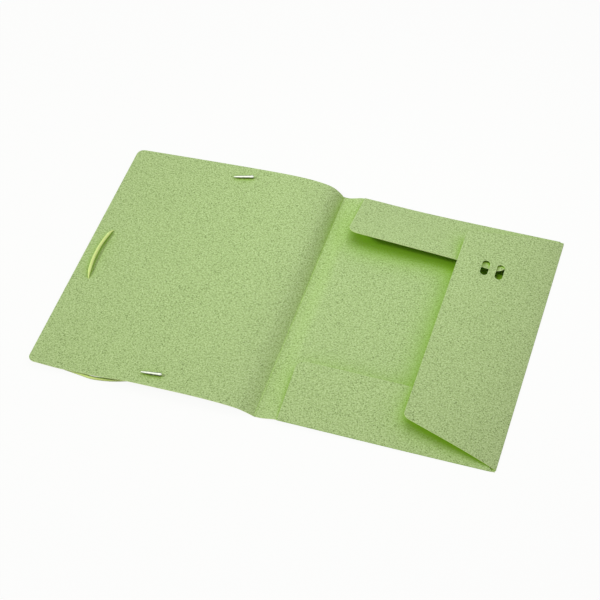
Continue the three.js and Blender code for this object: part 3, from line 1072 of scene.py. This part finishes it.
class FOLDER_OT_flaps(bpy.types.Operator):
    """Makes the top, bottom and side flaps"""

    bl_idname = "folder.flaps"
    bl_label = "Flaps"

    def execute(self, context):
        self.end_flap("top_flap", 1, BACK_LEFT, TOP_FLAP_LIFTS)
        under_side_flap = BACK_RIGHT - context.scene.folder_card.side_flap_depth
        pressed_from = under_side_flap - BOTTOM_PRESSED_LENGTH
        self.end_flap("bottom_flap", -1, pressed_from, BOTTOM_FLAP_LIFTS)
        self.side_flap(context.scene.folder_card.side_flap_depth)
        return {"FINISHED"}

    def end_flap(self, name, side, pressed_from, lifts):
        left = BACK_LEFT + END_FLAP_SPINE_INSET
        right = BACK_RIGHT - END_FLAP_SIDE_INSET
        reach = END_FLAP_DEPTH * math.tan(END_FLAP_MITRE)
        low, high = TOP - END_FLAP_DEPTH - MARGIN, TOP
        if side < 0:
            low, high = -high, -low
        flap = blank(name + "_panel", left - MARGIN, right + MARGIN, low, high, 0)
        free = side * (TOP - END_FLAP_DEPTH)
        fold = side * (TOP + MARGIN)
        corners = [
            (left, free, END_FLAP_CORNER),
            (right - reach, free, END_FLAP_CORNER),
            (right, side * TOP, 0),
            (right, fold, 0),
            (left, fold, 0),
        ]
        cut(flap, outline_cutter(corners), "INTERSECT")
        bend(flap, end_flap_bend(side, pressed_from, lifts), grain=side)
        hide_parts(name)
        relax(flap, name)

    def side_flap(self, depth):
        end = TOP - SIDE_FLAP_INSET
        narrowing = depth * math.tan(SIDE_FLAP_TAPER)
        free = BACK_RIGHT - depth
        flap = blank("side_flap_panel", free - MARGIN, BACK_RIGHT, -TOP, TOP, 0)
        corners = [
            (free, -end + narrowing, SIDE_FLAP_CORNER),
            (BACK_RIGHT, -end, 0),
            (BACK_RIGHT + MARGIN, -end, 0),
            (BACK_RIGHT + MARGIN, end, 0),
            (BACK_RIGHT, end, 0),
            (free, end - narrowing, SIDE_FLAP_CORNER),
        ]
        cut(flap, outline_cutter(corners), "INTERSECT")
        for distance in (SLOT_FOLD_DISTANCE, SLOT_FOLD_DISTANCE + SLOT_SPACING):
            place = (BACK_RIGHT - distance, TOP - SLOT_TOP_DISTANCE)
            cut(flap, slot_cutter(*place, SLOT_WIDTH, SLOT_LENGTH), "DIFFERENCE")
        bend(flap, bend_side_flap, grain=2)
        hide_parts("side_flap")
        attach(flap, "side_flap")


class FOLDER_OT_folds(bpy.types.Operator):
    """Makes the creases that join the panels"""

    bl_idname = "folder.folds"
    bl_label = "Folds"

    def execute(self, context):
        self.spine_crease()
        self.side_fold()
        self.end_fold("top_fold", 1)
        self.end_fold("bottom_fold", -1)
        return {"FINISHED"}

    def finish(self, piece):
        shade_smooth(piece, 50)
        map_grain(piece, 0)
        coat(piece, "speckled_card")

    def spine_crease(self):
        """The pressed line between the spine and the front cover."""
        lip = 0.35 * MM
        profile = [
            (SPINE_LEFT + 0.1 * MM, 0),
            (SPINE_LEFT + 1.3 * MM, 0.02 * MM),
            (SPINE_LEFT + 1.3 * MM, THICKNESS - 0.02 * MM),
            (SPINE_LEFT + 0.8 * MM, THICKNESS + lip * 0.8),
            (SPINE_LEFT + 0.3 * MM, THICKNESS + lip),
            (SPINE_LEFT - 0.1 * MM, THICKNESS + lip * 0.3),
            (COVER_RIGHT, THICKNESS),
            (COVER_RIGHT + 0.3 * MM, 0),
        ]
        crease = strip("spine_crease", profile, -TOP, TOP)
        self.finish(crease)
        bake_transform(crease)

    def fold_profile(self):
        """Half a ring of card around a fold, outwards from it and up."""
        outer = FOLD_HEIGHT
        inner = (FLAP_SEAT - THICKNESS) / 2
        angles = [math.pi * (step / FOLD_STEPS - 0.5) for step in range(FOLD_STEPS + 1)]
        ring = [(outer * math.cos(a), FOLD_HEIGHT + outer * math.sin(a)) for a in angles]
        ring += [(inner * math.cos(a), FOLD_HEIGHT + inner * math.sin(a)) for a in reversed(angles)]
        return ring

    def side_fold(self):
        end = TOP - SIDE_FLAP_INSET
        profile = [(BACK_RIGHT + x, z) for x, z in self.fold_profile()]
        fold = strip("side_fold", profile, -end, end)
        self.finish(fold)
        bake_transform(fold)

    def edge_strip(self, name, profile, side):
        """A strip along the fold at the top or bottom edge."""
        left = BACK_LEFT + END_FLAP_SPINE_INSET
        right = BACK_RIGHT - END_FLAP_SIDE_INSET
        piece = strip(name, profile, left, right)
        for vertex in piece.data.vertices:
            outward, across, height = vertex.co
            vertex.co = (across, side * (TOP + outward), height + ridge(across, side * TOP))
        turn_outwards(piece)
        self.finish(piece)
        return piece

    def end_fold(self, name, side):
        """The fold, and the roll that it opens into where the ridge lifts it."""
        flap = name.replace("fold", "flap")
        relax(self.edge_strip(name, self.fold_profile(), side), flap)
        shares = [index / ROLL_STEPS for index in range(ROLL_STEPS + 1)]
        steps = [mix(ROLL_INNER, ROLL_OUTER, share) for share in shares]
        profile = [(x, FOLD_HEIGHT - ROLL_HALF_THICKNESS) for x in steps]
        profile += [(x, FOLD_HEIGHT + ROLL_HALF_THICKNESS) for x in reversed(steps)]
        roll = self.edge_strip(name.replace("fold", "roll"), profile, side)
        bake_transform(roll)


class FOLDER_OT_clips(bpy.types.Operator):
    """Makes the two metal bars at the elastic's ends"""

    bl_idname = "folder.clips"
    bl_label = "Metal bars"

    def execute(self, context):
        places = hole_places()
        for name, heading in CLIP_HEADINGS.items():
            self.bar(name, places[name], heading)
        return {"FINISHED"}

    def bar(self, name, place, heading):
        """A tumbled bar with a knob at its right end. Its rings are the place along
        it and the radius in millimetres."""
        half = bpy.context.scene.folder_elastic.clip_length / 2
        rings = [
            (-half, 0.4), (-half + 0.3 * MM, 0.75), (-half + 3.5 * MM, 1.2),
            (-2.4 * MM, 1.45), (-1.6 * MM, 1.35), (1.6 * MM, 1.35), (2.4 * MM, 1.5),
            (half - 4.1 * MM, 1.5), (half - 3.4 * MM, 1.6), (half - 2.6 * MM, 1.78),
            (half - 1.8 * MM, 1.85), (half - 1.0 * MM, 1.7), (half - 0.3 * MM, 1.1),
            (half, 0.5),
        ]
        deselect()
        bpy.ops.mesh.primitive_circle_add(
            vertices=CLIP_SIDES, radius=rings[0][1] * MM, fill_type="NGON", location=(0, 0, 0),
        )
        piece = added(name.replace("clip", "bar"))
        bpy.ops.object.mode_set(mode="EDIT")
        bpy.ops.mesh.select_all(action="SELECT")
        for (before, narrow), (along, wide) in zip(rings, rings[1:]):
            bpy.ops.mesh.extrude_region_move(
                TRANSFORM_OT_translate={"value": (0, 0, along - before)}
            )
            factor = wide / narrow
            bpy.ops.transform.resize(value=(factor, factor, 1))
        turn_outwards(piece)
        seat = cover_point(*place)
        above = cover_point(*place, CLIP_KNOB_RADIUS + CLIP_SEAT_GAP)
        up = (above - seat).normalized()
        ahead = Vector((math.cos(heading), math.sin(heading), 0))
        ahead = (ahead - up * ahead.dot(up)).normalized()
        turn = Matrix((up.cross(ahead), up, ahead)).transposed().to_4x4()
        lift = Matrix.Translation((0, 0, -half))
        apply_modifier(piece, "SUBSURF", levels=1, render_levels=1)
        # Painted light and shade: faces turned between the two angles get the lit metal, the rest
        # the darkened copy
        for polygon in piece.data.polygons:
            around = math.atan2(polygon.normal.y, polygon.normal.x)
            polygon.material_index = 0 if BAR_PAINTED_LIGHT_TURNS[0] < around < BAR_PAINTED_LIGHT_TURNS[1] else 1
        piece.data.transform(Matrix.Translation(above) @ turn @ lift)
        shade_smooth(piece, 60)
        coat(piece, "bright_metal", "dull_metal")
        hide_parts(name)
        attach(piece, "front_cover")


class FOLDER_PT_panel(bpy.types.Panel):
    """Lists the folder's sizes and the steps that build it"""

    bl_idname = "FOLDER_PT_panel"
    bl_label = "Conference Folder"
    bl_space_type = "VIEW_3D"
    bl_region_type = "UI"
    bl_category = "Folder"

    def draw(self, context):
        layout = self.layout
        for group in GROUPS:
            settings = getattr(context.scene, group)
            box = layout.box()
            for name in settings.__annotations__:
                box.prop(settings, name)
        for operator in STEPS:
            layout.operator(operator.bl_idname)


STEPS = (
    FOLDER_OT_stage,
    FOLDER_OT_finishes,
    FOLDER_OT_elastic,
    FOLDER_OT_covers,
    FOLDER_OT_flaps,
    FOLDER_OT_folds,
    FOLDER_OT_clips,
)
GROUPS = {
    "folder_card": FolderCard,
    "folder_elastic": FolderElastic,
    "folder_finish": FolderFinish,
    "folder_stage": FolderStage,
}


def register():
    for cls in (*GROUPS.values(), *STEPS, FOLDER_PT_panel):
        bpy.utils.register_class(cls)
    for name, group in GROUPS.items():
        setattr(bpy.types.Scene, name, PointerProperty(type=group))


def unregister():
    for name in GROUPS:
        delattr(bpy.types.Scene, name)
    for cls in (FOLDER_PT_panel, *reversed(STEPS), *GROUPS.values()):
        bpy.utils.unregister_class(cls)


def main():
    register()
    bpy.ops.folder.stage()
    bpy.ops.folder.finishes()
    bpy.ops.folder.elastic()
    bpy.ops.folder.covers()
    bpy.ops.folder.flaps()
    bpy.ops.folder.folds()
    bpy.ops.folder.clips()


if __name__ == "__main__":
    main()
